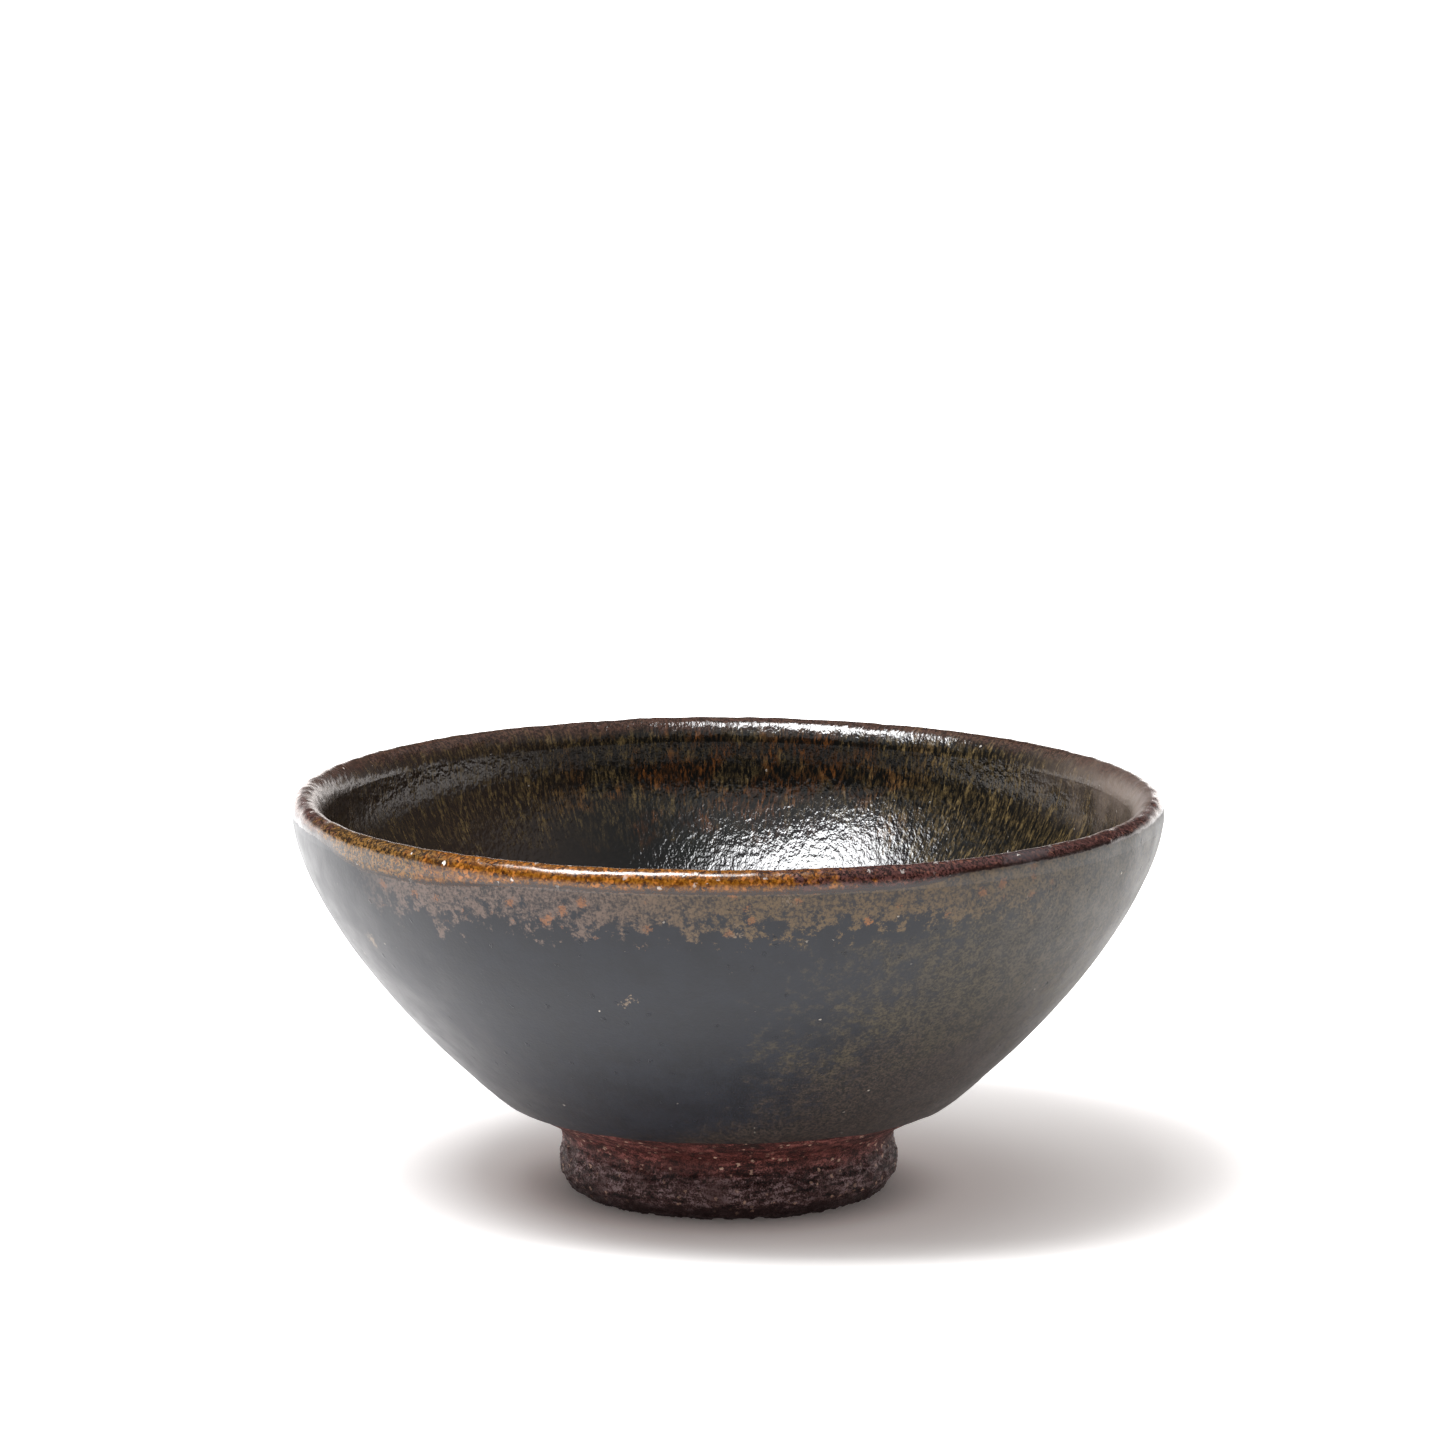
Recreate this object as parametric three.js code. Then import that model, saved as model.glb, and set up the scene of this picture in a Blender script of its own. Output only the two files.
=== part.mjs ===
// A wheel-thrown matcha bowl: a stoneware body on a luted foot ring, a wash of iron slip
// around the joint, and three coats of iron glaze, one outside, one over the lip, one inside.
// Millimetres, +Z up. The origin is the centre of the face that the foot ring stands on.
//
// Every layer is worked out from one curve, the finished surface of the bowl, which runs from
// the joint at the foot, up the outside, over the lip and down the inside to the axis.
import * as THREE from "three";

// Driving dimensions
const BOWL_RADIUS = 60; // widest outside radius, just below the lip's crest
const BOWL_HEIGHT = 55.6; // to the crest, before the lip's waves
const LIP_DROP = 2.1; // from the crest down to the widest radius
const LIP_INSET = 1.7; // from the widest radius in to the crest
const WALL_AT_LIP = 3.4; // clay and both glaze coats together
const WALL_AT_FOOT = 5.6;
const FLOOR_THICKNESS = 5; // at the axis
const FOOT_HEIGHT = 8.4; // from the table to the joint with the body
const FOOT_RADIUS = 23.35; // widest, at the swell of the ring
const FOOT_NECK_INSET = 0.55; // from the swell in to the joint
const FOOT_REST_INSET = 3.1; // from the swell in to the outer edge of the resting face
const FOOT_REST_WIDTH = 3.4; // the flat that touches the table
const FOOT_RING_WIDTH = 7.6; // at the joint
const FOOT_RECESS_CHAMFER = 0.9;
const UNDERSIDE_SAG = 1.1; // how far the body hangs down into the ring at the axis
const UNDERSIDE_FLAT = 0.6; // share of the recess's radius over which it hangs level
const GLAZE_THICKNESS = 0.8;
const SLIP_THICKNESS = 0.4;
const GLAZE_LINE_ABOVE_FOOT = 4.2; // where the outside glaze stops, above the joint
const LIP_BAND_OUTSIDE = 3.2; // the lip's glaze, measured down from the crest
const LIP_BAND_INSIDE = 3.2;
const BOND_GAP = 0.2; // between a coat and the clay under it, and from ring to body
const COAT_GAP = 0.2; // between the edges of neighbouring coats

// The lip's slow rise and fall, left by the potter's hands: [waves round, height, angle]
const LIP_WAVES = [
  [1, -0.18, 22],
  [2, -0.25, 15],
  [4, 0.12, 0],
];
const WAVES_BEGIN = 0.35; // share of the height below which the bowl is true

// Fineness of the faceted model
const TURNS = 60; // facets round the axis
const CURVE_STEP = 6; // along the finished surface
const LIP_STEP = 0.9;
const SWELL_STEPS = 8; // up the outside of the foot ring
const UNDERSIDE_STEPS = 4;
const HEIGHT_SEARCHES = 40; // halvings, when a height is looked for on the surface

const stoneware = new THREE.MeshStandardMaterial({ color: 0x4a2f2b, roughness: 0.9, metalness: 0 });
const footClay = new THREE.MeshStandardMaterial({ color: 0x45302e, roughness: 0.95, metalness: 0 });
const ironSlip = new THREE.MeshStandardMaterial({ color: 0x4e211c, roughness: 0.8, metalness: 0 });
const blackGlaze = new THREE.MeshStandardMaterial({ color: 0x2c2d30, roughness: 0.32, metalness: 0 });
const amberGlaze = new THREE.MeshStandardMaterial({ color: 0x6b3a12, roughness: 0.22, metalness: 0 });
const streakedGlaze = new THREE.MeshStandardMaterial({ color: 0x2a2318, roughness: 0.2, metalness: 0 });

const point = (radius, height) => new THREE.Vector2(radius, height);
const neck = point(FOOT_RADIUS - FOOT_NECK_INSET, FOOT_HEIGHT);
const recessRadius = neck.x - FOOT_RING_WIDTH;

// The outside of the wall. Its start and handles are shares of the bowl's reach and rise above
// the neck, so the flank keeps its character at other sizes: nearly straight low down, upright
// at the widest radius.
const widest = point(BOWL_RADIUS, BOWL_HEIGHT - LIP_DROP);
const aboveNeck = (reach, rise) => widest.clone().sub(neck).multiply(point(reach, rise)).add(neck);
const flank = new THREE.CubicBezierCurve(
  aboveNeck(0.07, 0.035),
  aboveNeck(0.4, 0.153),
  aboveNeck(1, 0.712),
  widest,
);
const joint = new THREE.LineCurve(neck, flank.v0);

// The direction out of the wall, for a curve that runs up the outside and down the inside.
function outward(curve, share) {
  const direction = curve.getTangentAt(share);
  return point(direction.y, -direction.x);
}

// The inside of the wall, running down: the flank moved in by the wall's thickness.
function insideOfWall() {
  const samples = 9;
  const lipEnds = 0.86; // share of the flank above which the lip's taper takes over
  const floorBegins = 0.24; // share of the flank below which the floor takes over
  const points = [];
  for (let i = 0; i < samples; i += 1) {
    const share = THREE.MathUtils.lerp(lipEnds, floorBegins, i / (samples - 1));
    const thickness = THREE.MathUtils.lerp(WALL_AT_FOOT, WALL_AT_LIP, share);
    points.push(flank.getPointAt(share).addScaledVector(outward(flank, share), -thickness));
  }
  return new THREE.SplineCurve(points);
}

// The floor: it leaves the wall along the wall's own slope, and meets the axis level.
function floorFrom(wall) {
  const edge = wall.getPointAt(1);
  const slope = wall.getTangentAt(1);
  const level = FOOT_HEIGHT - UNDERSIDE_SAG + FLOOR_THICKNESS;
  const steep = 0.55; // share of the drop to the floor taken along the wall's slope
  const flat = 0.45; // share of the radius that is nearly level
  const bend = edge.clone().addScaledVector(slope, (steep * (edge.y - level)) / -slope.y);
  return new THREE.CubicBezierCurve(edge, bend, point(flat * edge.x, level), point(0, level));
}

// The lip: a bevel outside, a rounded crest, and a long taper that runs into the inside wall.
function lipHalves(wall) {
  const crest = point(BOWL_RADIUS - LIP_INSET, BOWL_HEIGHT);
  const wallTop = wall.getPointAt(0);
  const taper = crest.y - wallTop.y;
  const upright = 0.6; // how far the bevel carries straight on up, as a share of its rise
  const shoulder = 0.5; // how broad the crest is, as a share of the bevel
  const crown = 0.8; // how broad the crest is inside, as a share of the taper's reach
  const straight = 0.28; // how far the taper carries on along the wall, as a share of its drop
  const outside = new THREE.CubicBezierCurve(
    widest,
    point(widest.x, widest.y + upright * (crest.y - widest.y)),
    point(crest.x + shoulder * (widest.x - crest.x), crest.y),
    crest,
  );
  const inside = new THREE.CubicBezierCurve(
    crest,
    point(crest.x - crown * (crest.x - wallTop.x), crest.y),
    wallTop.clone().addScaledVector(wall.getTangentAt(0), -straight * taper),
    wallTop,
  );
  return [outside, inside];
}

// The finished surface: its curves in order, each with the step that it is divided by.
const innerWall = insideOfWall();
const [lipOutside, lipInside] = lipHalves(innerWall);
const surface = [
  { curve: joint, step: CURVE_STEP },
  { curve: flank, step: CURVE_STEP },
  { curve: lipOutside, step: LIP_STEP },
  { curve: lipInside, step: LIP_STEP },
  { curve: innerWall, step: CURVE_STEP },
  { curve: floorFrom(innerWall), step: CURVE_STEP },
];
let surfaceLength = 0;
for (const stretch of surface) {
  stretch.from = surfaceLength;
  stretch.length = stretch.curve.getLength();
  surfaceLength += stretch.length;
}
const crestAt = surface[3].from;

// A place on the finished surface: how far along it is, where, and which way is out.
function place(distance) {
  const stretch = surface.findLast(({ from }) => distance >= from);
  const share = Math.min(1, (distance - stretch.from) / stretch.length);
  return { distance, at: stretch.curve.getPointAt(share), out: outward(stretch.curve, share) };
}

// How far along a height is met, on the outside or the inside of the bowl.
function distanceTo(height, inside) {
  let [below, above] = inside ? [surfaceLength, crestAt] : [0, crestAt];
  for (let i = 0; i < HEIGHT_SEARCHES; i += 1) {
    const middle = (below + above) / 2;
    if (place(middle).at.y < height) below = middle;
    else above = middle;
  }
  return (below + above) / 2;
}

// Where each coat begins and ends, as distances along the surface.
const glazeLine = distanceTo(FOOT_HEIGHT + GLAZE_LINE_ABOVE_FOOT, false);
const bandOutside = distanceTo(BOWL_HEIGHT - LIP_BAND_OUTSIDE, false);
const bandInside = distanceTo(BOWL_HEIGHT - LIP_BAND_INSIDE, true);
const slipCoat = { from: BOND_GAP, to: glazeLine - COAT_GAP };
const outerCoat = { from: glazeLine, to: bandOutside - COAT_GAP };
const lipCoat = { from: bandOutside, to: bandInside };
const innerCoat = { from: bandInside + COAT_GAP, to: surfaceLength };

// One list of places that every layer shares, so that their facets lie parallel.
function sharedPlaces() {
  const marks = [slipCoat, outerCoat, lipCoat, innerCoat].flatMap(({ from, to }) => [from, to]);
  const ends = [...new Set([...marks, ...surface.map(({ from }) => from)])].sort((a, b) => a - b);
  const places = [];
  for (let i = 0; i + 1 < ends.length; i += 1) {
    const { step } = surface.findLast(({ from }) => ends[i] >= from);
    const parts = Math.ceil((ends[i + 1] - ends[i]) / step);
    for (let k = 0; k < parts; k += 1) {
      places.push(place(THREE.MathUtils.lerp(ends[i], ends[i + 1], k / parts)));
    }
  }
  return [...places, place(surfaceLength)];
}

const places = sharedPlaces();

// The finished surface between two distances, moved into the wall by a depth.
function sunk({ from, to }, depth) {
  return places
    .filter(({ distance }) => distance >= from && distance <= to)
    .map(({ at, out }) => point(Math.max(0, at.x - depth * out.x), at.y - depth * out.y));
}

// Lifts the lip by its waves, and leaves the lower part of the bowl true.
function wave(geometry) {
  const position = geometry.getAttribute("position");
  for (let i = 0; i < position.count; i += 1) {
    const angle = Math.atan2(position.getY(i), position.getX(i));
    const height = position.getZ(i);
    const share = THREE.MathUtils.smoothstep(height, WAVES_BEGIN * BOWL_HEIGHT, BOWL_HEIGHT);
    let lift = 0;
    for (const [count, size, turn] of LIP_WAVES) {
      lift += size * Math.cos(count * (angle - THREE.MathUtils.degToRad(turn)));
    }
    position.setZ(i, height + share * lift);
  }
  return geometry;
}

// A named piece turned about the axis from a profile of radii and heights.
function turned(name, material, profile) {
  const geometry = new THREE.LatheGeometry(profile, TURNS).rotateX(Math.PI / 2);
  const mesh = new THREE.Mesh(wave(geometry), material);
  mesh.name = name;
  return mesh;
}

// A coat of glaze or slip: a stretch of the finished surface, between two depths.
function coat(name, material, stretch, outerDepth, innerDepth) {
  const face = sunk(stretch, outerDepth);
  const back = sunk(stretch, innerDepth).reverse();
  return turned(name, material, [...face, ...back, face[0]]);
}

// The thrown body: all that the coats leave of the bowl, closed by the underside.
function clayBody() {
  const skin = sunk({ from: 0, to: surfaceLength }, GLAZE_THICKNESS + BOND_GAP);
  const seat = FOOT_HEIGHT + BOND_GAP;
  const level = seat - UNDERSIDE_SAG;
  const underside = new THREE.QuadraticBezierCurve(
    point(0, level),
    point(UNDERSIDE_FLAT * recessRadius, level),
    point(recessRadius, seat),
  ).getPoints(UNDERSIDE_STEPS);
  return turned("clay_body", stoneware, [...underside, point(skin[0].x, seat), ...skin]);
}

// The foot ring: a swelling outside, a flat to stand on, and a slightly flared recess.
function footRing() {
  const restOuter = FOOT_RADIUS - FOOT_REST_INSET;
  const restInner = restOuter - FOOT_REST_WIDTH;
  const swell = new THREE.SplineCurve([
    point(restOuter, 0),
    point(restOuter + 0.74 * FOOT_REST_INSET, 0.22 * FOOT_HEIGHT),
    point(FOOT_RADIUS, 0.52 * FOOT_HEIGHT),
    neck,
  ]).getPoints(SWELL_STEPS);
  const recess = [
    point(recessRadius, FOOT_HEIGHT),
    point(restInner - FOOT_RECESS_CHAMFER, FOOT_RECESS_CHAMFER),
    point(restInner, 0),
  ];
  return turned("foot_ring", footClay, [...swell, ...recess, point(restOuter, 0)]);
}

const slipDepth = GLAZE_THICKNESS - SLIP_THICKNESS;
const bowl = new THREE.Group();
bowl.add(
  clayBody(),
  footRing(),
  coat("iron_slip", ironSlip, slipCoat, slipDepth, GLAZE_THICKNESS),
  coat("outer_glaze", blackGlaze, outerCoat, 0, GLAZE_THICKNESS),
  coat("lip_glaze", amberGlaze, lipCoat, 0, GLAZE_THICKNESS),
  coat("inner_glaze", streakedGlaze, innerCoat, 0, GLAZE_THICKNESS),
);

export default bowl;
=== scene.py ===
"""A wheel-thrown matcha bowl: clay, a luted foot ring, a wash of iron slip and three glazes.

Each of the six pieces stands for the CAD node of its name. The coats are skins turned ring by
ring on the finished surface of the bowl, uneven as a thrown pot is, and then given their
thickness inwards. Lengths in the modelling are metres, and millimetres in the glazes' patterns.
"""

import math

import bpy
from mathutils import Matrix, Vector
from mathutils.geometry import interpolate_bezier


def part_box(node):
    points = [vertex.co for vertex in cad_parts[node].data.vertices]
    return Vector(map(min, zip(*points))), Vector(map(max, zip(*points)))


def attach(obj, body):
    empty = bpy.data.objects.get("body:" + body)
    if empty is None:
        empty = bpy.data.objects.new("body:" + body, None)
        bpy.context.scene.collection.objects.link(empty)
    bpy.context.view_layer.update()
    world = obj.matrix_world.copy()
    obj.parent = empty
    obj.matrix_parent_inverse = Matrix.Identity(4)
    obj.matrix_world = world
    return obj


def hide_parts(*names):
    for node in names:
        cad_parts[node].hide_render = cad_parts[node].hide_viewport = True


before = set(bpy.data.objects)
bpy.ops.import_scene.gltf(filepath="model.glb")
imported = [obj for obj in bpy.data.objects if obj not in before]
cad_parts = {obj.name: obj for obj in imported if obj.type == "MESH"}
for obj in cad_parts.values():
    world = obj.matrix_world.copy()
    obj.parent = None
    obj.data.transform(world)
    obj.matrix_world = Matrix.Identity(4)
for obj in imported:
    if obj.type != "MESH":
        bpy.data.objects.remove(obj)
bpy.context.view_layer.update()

MM = 0.001

# ---------------------------------------------------------------- sizes, from the frame
FOOT_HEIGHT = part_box("foot_ring")[1].z
FOOT_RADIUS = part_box("foot_ring")[1].x
RIM_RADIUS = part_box("lip_glaze")[1].x
LIP_LIFT = 0.4 * MM  # the lip's highest wave
CREST_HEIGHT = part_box("lip_glaze")[1].z - LIP_LIFT
NECK_INSET = 0.5 * MM
LIP_DROP = 2.1 * MM
LIP_INSET = 1.7 * MM
ROLL_DROP = 2.9 * MM  # from the crest to the soft roll of glaze inside
ROLL_WIDTH = 1.5 * MM
ROLL_HEIGHT = 0.28 * MM
WALL_AT_FOOT = 5.6 * MM
WALL_AT_LIP = 3.4 * MM
FLOOR_THICKNESS = 5 * MM
UNDERSIDE_SAG = 1.1 * MM
TURNING_MARK = 0.16 * MM  # how deep the turning tool's spiral is on the underside
RING_WIDTH = 7.6 * MM
SETTLED = 0.1 * MM  # clay lower than this rests on the table
REST_INSET = 3.1 * MM
REST_WIDTH = 3.4 * MM
FOOT_GROOVES = [  # height, half width and depth of each groove that the turning tool left
    (1.7 * MM, 0.5 * MM, 0.34 * MM),
    (5.7 * MM, 0.4 * MM, 0.34 * MM),
    (4.3 * MM, 0.3 * MM, 0.12 * MM),
    (6.9 * MM, 0.3 * MM, 0.16 * MM),
]
LIP_WAVES = [  # how many go round, height in millimetres, and the degrees where one peaks
    (1, -0.18, 22),
    (2, -0.25, 15),
    (4, 0.12, 0),
]
GLAZE_THICKNESS = 0.8 * MM
SLIP_THICKNESS = 0.4 * MM
CLAY_DEPTH = 1.0 * MM  # of the clay under the finished surface
GLAZE_LINE = 13.2 * MM
BAND_BELOW_CREST = 3.2 * MM  # how far down the lip's glaze reaches, on both sides

# ---------------------------------------------------------------- fineness
AROUND = 128  # sides of each ring, before subdivision
BODY_AROUND = 96
GUIDE_AROUND = 256
SMOOTHING = 2  # levels of subdivision


# ---------------------------------------------------------------- the finished surface
def curve(start, first, second, end, steps):
    """Points of a cubic curve as (radius, height) vectors."""
    return interpolate_bezier(Vector(start), Vector(first), Vector(second), Vector(end), steps)


def length(points):
    return sum((b - a).length for a, b in zip(points, points[1:]))


def evenly(points, spacing):
    """The same line with its points evenly spaced, ends kept."""
    parts = max(1, round(length(points) / spacing))
    step = length(points) / parts
    made, walked, wanted = [points[0].copy()], 0.0, step
    for a, b in zip(points, points[1:]):
        reach = (b - a).length
        while walked + reach >= wanted and len(made) < parts:
            made.append(a.lerp(b, (wanted - walked) / reach))
            wanted += step
        walked += reach
    return [*made, points[-1].copy()]


def sunk(points, depth):
    """The line moved into the wall. It runs up the outside and down the inside."""
    moved = []
    for i, at in enumerate(points):
        along = (points[min(i + 1, len(points) - 1)] - points[max(i - 1, 0)]).normalized()
        moved.append(at - depth * Vector((along.y, -along.x)))
    return moved


def between(points, low, high):
    """The stretch of a line between two heights, with both ends exact."""
    kept = []
    for a, b in zip(points, points[1:]):
        bottom, top = sorted((a.y, b.y))
        for height in sorted((low, high), reverse=a.y > b.y):
            if bottom < height < top:
                kept.append(a.lerp(b, (height - a.y) / (b.y - a.y)))
        if low <= b.y <= high:
            kept.append(b)
    return [points[0], *kept] if low <= points[0].y <= high else kept


def groove(at, height, width, depth):
    """How deep a rounded groove or ridge is at a point of an outline."""
    return depth * math.exp(-(((at.y - height) / width) ** 2))


NECK = Vector((FOOT_RADIUS - NECK_INSET, FOOT_HEIGHT))
WIDEST = Vector((RIM_RADIUS, CREST_HEIGHT - LIP_DROP))
CREST = Vector((RIM_RADIUS - LIP_INSET, CREST_HEIGHT))


def above_neck(reach, rise):
    """A point at shares of the bowl's reach and rise above the neck."""
    return NECK + Vector((reach * (WIDEST.x - NECK.x), rise * (WIDEST.y - NECK.y)))


def outside_wall():
    flank = curve(above_neck(0.07, 0.035), above_neck(0.4, 0.153), above_neck(1, 0.712), WIDEST, 90)
    return [NECK, *flank]


def inside_wall():
    """The flank moved in by the wall, thicker low down, from the lip's taper to the floor."""
    flank = evenly(outside_wall()[1:], 1 * MM)
    floor_begins = round(0.24 * len(flank))
    lip_ends = round(0.86 * len(flank))
    run = []
    for i in range(floor_begins, lip_ends):
        thickness = WALL_AT_FOOT + (WALL_AT_LIP - WALL_AT_FOOT) * i / (len(flank) - 1)
        run.append(sunk(flank[i - 1 : i + 2], thickness)[1])
    return run[::-1]


def inside_floor(wall):
    """From the foot of the inside wall, along its slope, to level at the axis."""
    edge = wall[-1]
    slope = (wall[-1] - wall[-2]).normalized()
    level = FOOT_HEIGHT - UNDERSIDE_SAG + FLOOR_THICKNESS
    bend = edge + slope * (0.55 * (edge.y - level) / -slope.y)
    return curve(edge, bend, (0.45 * edge.x, level), (0, level), 60)


def lip_halves(wall):
    """The lip: a bevel outside, a broad crest, and inside it a soft roll of glaze on the wall."""
    upright = Vector((0, 0.6 * LIP_DROP))
    shoulder = Vector((0.5 * LIP_INSET, 0))
    crown = Vector((0.8 * (CREST.x - wall[0].x), 0))
    along = (wall[1] - wall[0]).normalized() * (0.28 * (CREST.y - wall[0].y))
    outside = curve(WIDEST, WIDEST + upright, CREST + shoulder, CREST, 40)
    inside = curve(CREST, CREST - crown, wall[0] - along, wall[0], 60)
    for at in inside:
        at.x -= groove(at, CREST.y - ROLL_DROP, ROLL_WIDTH, ROLL_HEIGHT)
    return outside, inside


def slip_line():
    """Over the joint: up the ring's neck, round the corner and on under the glaze."""
    under = sunk(between(OUTSIDE, FOOT_HEIGHT + 2.0 * MM, GLAZE_LINE + 3 * MM), SLIP_THICKNESS)
    start = NECK + Vector((0.12 * MM, -0.9 * MM))
    slope = (under[1] - under[0]).normalized()
    corner = curve(start, start + Vector((0, 1.5 * MM)), under[0] - slope * 2.2 * MM, under[0], 30)
    return [*corner, *under[1:]]


WALL_OUTSIDE = outside_wall()
WALL_INSIDE = inside_wall()
LIP_OUTSIDE, LIP_INSIDE = lip_halves(WALL_INSIDE)
OUTSIDE = [*WALL_OUTSIDE, *LIP_OUTSIDE[1:]]
INSIDE = [*LIP_INSIDE, *WALL_INSIDE[1:], *inside_floor(WALL_INSIDE)[1:]]
BAND_HEIGHT = CREST_HEIGHT - BAND_BELOW_CREST


# ---------------------------------------------------------------- modelling
def alone(piece):
    """Makes a piece the only one selected, and active."""
    bpy.ops.object.select_all(action="DESELECT")
    piece.select_set(True)
    bpy.context.view_layer.objects.active = piece


def rings(name, points, around=AROUND):
    """A skin turned about the axis: one ring of vertices for each (radius, height) point."""
    bpy.ops.object.select_all(action="DESELECT")
    first = points[0]
    bpy.ops.mesh.primitive_circle_add(vertices=around, radius=first.x, location=(0, 0, first.y))
    piece = bpy.context.object
    piece.name = piece.data.name = name
    bpy.ops.object.mode_set(mode="EDIT")
    bpy.ops.mesh.select_all(action="SELECT")
    for a, b in zip(points, points[1:]):
        bpy.ops.mesh.extrude_edges_move(TRANSFORM_OT_translate={"value": (0, 0, b.y - a.y)})
        share = b.x / a.x
        bpy.ops.transform.resize(value=(share, share, 1), center_override=(0, 0, b.y))
    bpy.ops.object.mode_set(mode="OBJECT")
    bpy.ops.object.transform_apply(location=True, rotation=True, scale=True)
    return piece


def weigh(piece, name, weights, around=AROUND):
    """A vertex group that gives each ring, counted from the first, its own weight."""
    group = piece.vertex_groups.new(name=name)
    for ring, weight in enumerate(weights):
        group.add(range(ring * around, (ring + 1) * around), weight, "REPLACE")


def face_outwards(piece, along):
    """Turns the skin's faces out, given the line's direction over its first ring."""
    face = piece.data.polygons[0]
    radial = Vector((face.center.x, face.center.y)).normalized()
    normal = Vector((face.normal.x, face.normal.y)).dot(radial) * along.y - face.normal.z * along.x
    if normal < 0:
        bpy.ops.object.mode_set(mode="EDIT")
        bpy.ops.mesh.select_all(action="SELECT")
        bpy.ops.mesh.flip_normals()
        bpy.ops.object.mode_set(mode="OBJECT")


def close_at_axis(piece, around=AROUND):
    """Gathers the last ring of a skin to one point on the axis."""
    count = len(piece.data.vertices)
    for vertex in piece.data.vertices:
        vertex.select = vertex.index >= count - around
    bpy.ops.object.mode_set(mode="EDIT")
    bpy.ops.mesh.select_mode(type="VERT")
    bpy.ops.mesh.extrude_edges_move()
    bpy.ops.mesh.merge(type="CENTER")
    bpy.ops.object.mode_set(mode="OBJECT")


def modify(piece, kind, **settings):
    """Adds a modifier with its settings and applies it."""
    alone(piece)
    modifier = piece.modifiers.new(kind.lower(), kind)
    for key, value in settings.items():
        setattr(modifier, key, value)
    bpy.ops.object.modifier_apply(modifier=modifier.name)


def subdivide(piece, levels=SMOOTHING):
    modify(piece, "SUBSURF", levels=levels, render_levels=levels)


def clouds(name, size, depth=2, basis="BLENDER_ORIGINAL"):
    """A lump pattern with features of a size, for the displace modifier."""
    texture = bpy.data.textures.new(name, "CLOUDS")
    texture.noise_scale = size
    texture.noise_depth = depth
    texture.noise_basis = basis
    return texture


def displace(piece, texture, height, **settings):
    modify(piece, "DISPLACE", texture=texture, strength=height, mid_level=0.5, **settings)


def finish(piece, material, angle=40):
    """Smooth shading, material, body and the node that the piece stands for."""
    alone(piece)
    bpy.ops.object.shade_smooth_by_angle(angle=math.radians(angle))
    piece.data.materials.clear()
    piece.data.materials.append(material)
    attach(piece, "root")
    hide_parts(piece.name.replace("_skin", ""))


# Unevenness that every layer shares, so that one lies on the other
HAND = clouds("hand", 22 * MM, 1)
RIPPLE = clouds("ripple", 5 * MM, 2)


def lip_lattice():
    """A cage that lifts and lowers the lip a little, and leaves the lower bowl true."""
    bpy.ops.object.select_all(action="DESELECT")
    bpy.ops.object.add(type="LATTICE", location=(0, 0, CREST_HEIGHT / 2))
    cage = bpy.context.object
    cage.name = "lip_cage"
    cage.scale = (2.2 * RIM_RADIUS, 2.2 * RIM_RADIUS, CREST_HEIGHT)
    lattice = cage.data
    lattice.points_u = lattice.points_v = 7
    lattice.points_w = 4
    for point in lattice.points:
        x, y, z = point.co
        angle = math.atan2(y, x)
        share = max(0.0, z + 0.17) / 0.67
        reach = min(1.0, math.hypot(x, y) / 0.45)
        lift = 0.0
        for count, size, turn in LIP_WAVES:
            lift += size * math.cos(count * (angle - math.radians(turn)))
        point.co_deform.z = z + share * share * reach * lift * MM / CREST_HEIGHT
    return cage


def wave(piece, cage):
    modify(piece, "LATTICE", object=cage)


def coat(name, points, spacing, thickness, cage, hem=None, guide=None, grain=0.04, dents=0.0):
    """A skin on the finished surface, uneven, then given its thickness inwards.

    A hem lets its first stretch wander up and down the guide and swell there, as glaze does
    where it stops running. Dents make it uneven between its two edges.
    """
    line = evenly(points, spacing)
    to_axis = line[-1].x < 0.5 * MM
    if to_axis:
        line[-1] = Vector((0.35 * spacing, line[-1].y))
    piece = rings(name, line)
    if hem:
        weigh(piece, "hem", [max(0.0, min(1.0, 1.5 - i * spacing / hem)) for i in range(len(line))])
    if dents:
        last = len(line) - 1
        weigh(piece, "dents", [math.sin(math.pi * i / last) for i in range(last + 1)])
    if to_axis:
        close_at_axis(piece)
    face_outwards(piece, line[1] - line[0])
    subdivide(piece)
    if hem:
        displace(piece, clouds("hem_wave", 9 * MM, 1), 2.4 * MM, direction="Z", vertex_group="hem")
        modify(piece, "SHRINKWRAP", target=guide, wrap_method="NEAREST_SURFACEPOINT", vertex_group="hem")
        modify(piece, "DISPLACE", strength=0.22 * MM, mid_level=0, vertex_group="hem")
    displace(piece, HAND, 0.35 * MM)
    displace(piece, RIPPLE, grain * MM)
    if dents:
        displace(piece, clouds("dents", 3.2 * MM, 2), dents * MM, vertex_group="dents")
    inwards = {"thickness": thickness, "offset": -1, "use_even_offset": True}
    if hem:
        inwards |= {"vertex_group": "hem", "invert_vertex_group": True, "thickness_vertex_group": 0.5}
    modify(piece, "SOLIDIFY", **inwards)
    wave(piece, cage)
    return piece


def closed_ring(name, points, around=AROUND):
    """A solid turned from a line that comes back to its start."""
    piece = rings(name, points, around)
    alone(piece)
    bpy.ops.object.mode_set(mode="EDIT")
    bpy.ops.mesh.select_all(action="SELECT")
    bpy.ops.mesh.remove_doubles(threshold=0.001 * MM)
    bpy.ops.mesh.normals_make_consistent(inside=False)
    bpy.ops.object.mode_set(mode="OBJECT")
    subdivide(piece)
    return piece


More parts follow.
